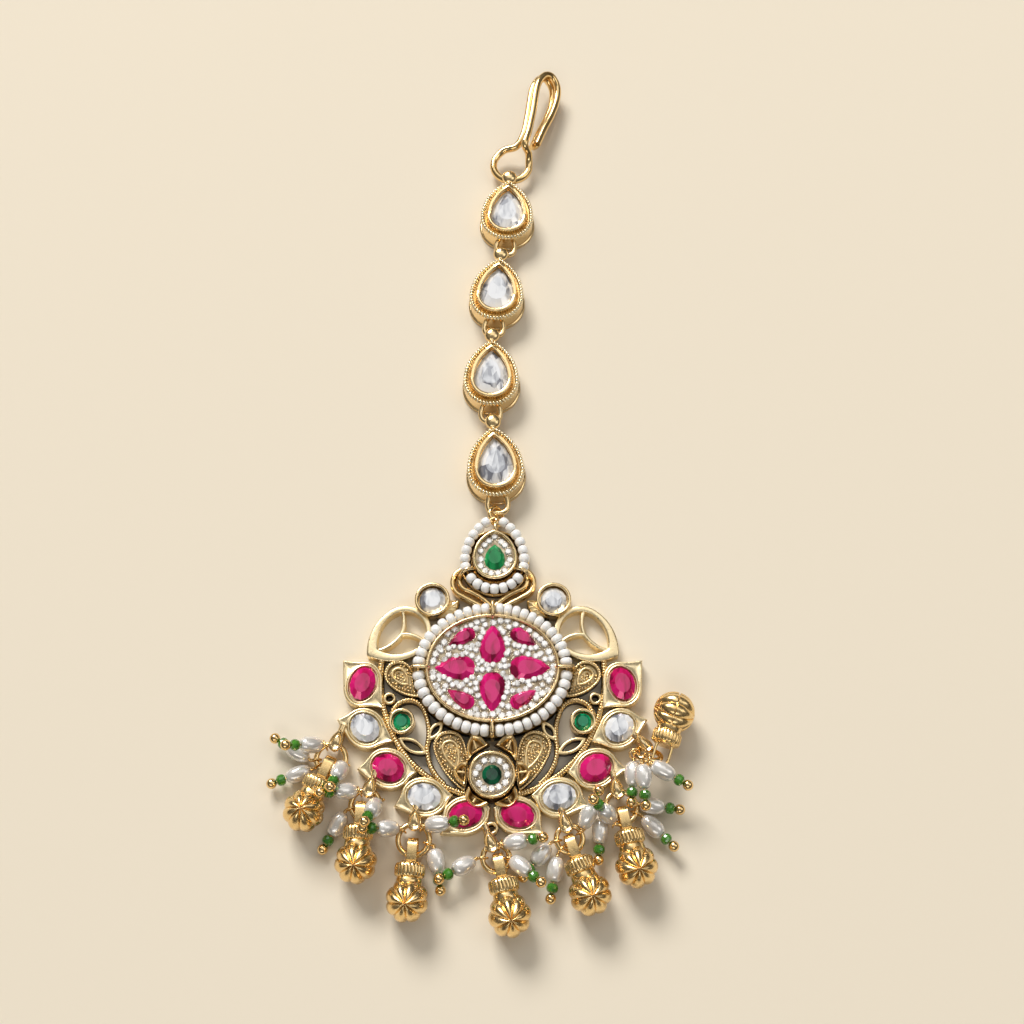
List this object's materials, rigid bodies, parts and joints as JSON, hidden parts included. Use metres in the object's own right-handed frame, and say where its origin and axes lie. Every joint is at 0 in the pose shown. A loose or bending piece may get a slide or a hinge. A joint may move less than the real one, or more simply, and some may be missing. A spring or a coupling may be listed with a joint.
{
  "type": "maang tikka",
  "caption": "Hair ornament lying flat: hook, chain of pear-shaped stone links, crown and pierced oval pendant with petals, fluted ball drops and pearl dangles.",
  "frame": {"origin": "middle of the oval medallion, on the flat back of the pendant frame", "axes": "+Y runs up the chain to the hook, +Z comes out of the front, +X is to the right seen from the front"},
  "size_m": [0.0623, 0.1514, 0.0077],
  "materials": {
    "polished_gold": "polished warm yellow gold plate",
    "link_gold": "polished gold plate with darkened grooves",
    "casting_gold": "brushed gold plate, darkened in its gaps",
    "setting_gold": "satin gold plate",
    "link_stone": "foil-backed clear stone",
    "clear_stone": "foil-backed clear stone",
    "petal_pink": "foil-backed pink stone",
    "ruby": "glossy ruby-pink stone",
    "crown_green": "glossy green stone",
    "teal_green": "glossy teal green stone",
    "dark_green": "glossy dark green stone",
    "pave": "small silvery white brilliants",
    "seed_beads": "glossy milky white",
    "pearl": "off-white pearl lustre",
    "bead_green": "translucent green glass"
  },
  "bodies": {
    "root": {"hook": "polished_gold", "crown_ring": "polished_gold", "drop_rings": "polished_gold", "dangle_pins": "polished_gold", "drop_1": "polished_gold", "drop_2": "polished_gold", "drop_3": "polished_gold", "drop_4": "polished_gold", "drop_5": "polished_gold", "drop_6": "polished_gold", "drop_7": "polished_gold", "link_setting_1": "link_gold", "link_setting_2": "link_gold", "link_setting_3": "link_gold", "link_setting_4": "link_gold", "link_stone_1": "link_stone", "link_stone_2": "link_stone", "link_stone_3": "link_stone", "link_stone_4": "link_stone", "pendant_frame": "casting_gold", "crown_setting": "setting_gold", "oval_setting": "setting_gold", "flower_setting": "setting_gold", "crown_stone": "crown_green", "flower_stone": "dark_green", "crown_pave": "pave", "oval_pave": "pave", "flower_pave": "pave", "crown_beads": "seed_beads", "oval_beads": "seed_beads", "oval_ruby_1": "ruby", "oval_ruby_2": "ruby", "oval_ruby_3": "ruby", "oval_ruby_4": "ruby", "oval_ruby_5": "ruby", "oval_ruby_6": "ruby", "oval_ruby_7": "ruby", "oval_ruby_8": "ruby", "petal_stone_left_1": "petal_pink", "petal_stone_left_2": "clear_stone", "petal_stone_left_3": "petal_pink", "petal_stone_left_4": "clear_stone", "petal_stone_left_5": "petal_pink", "round_stone_left": "clear_stone", "green_stone_left": "teal_green", "petal_stone_right_1": "petal_pink", "petal_stone_right_2": "clear_stone", "petal_stone_right_3": "petal_pink", "petal_stone_right_4": "clear_stone", "petal_stone_right_5": "petal_pink", "round_stone_right": "clear_stone", "green_stone_right": "teal_green", "dangle_pearls": "pearl", "dangle_beads": "bead_green"}
  },
  "joints": []
}
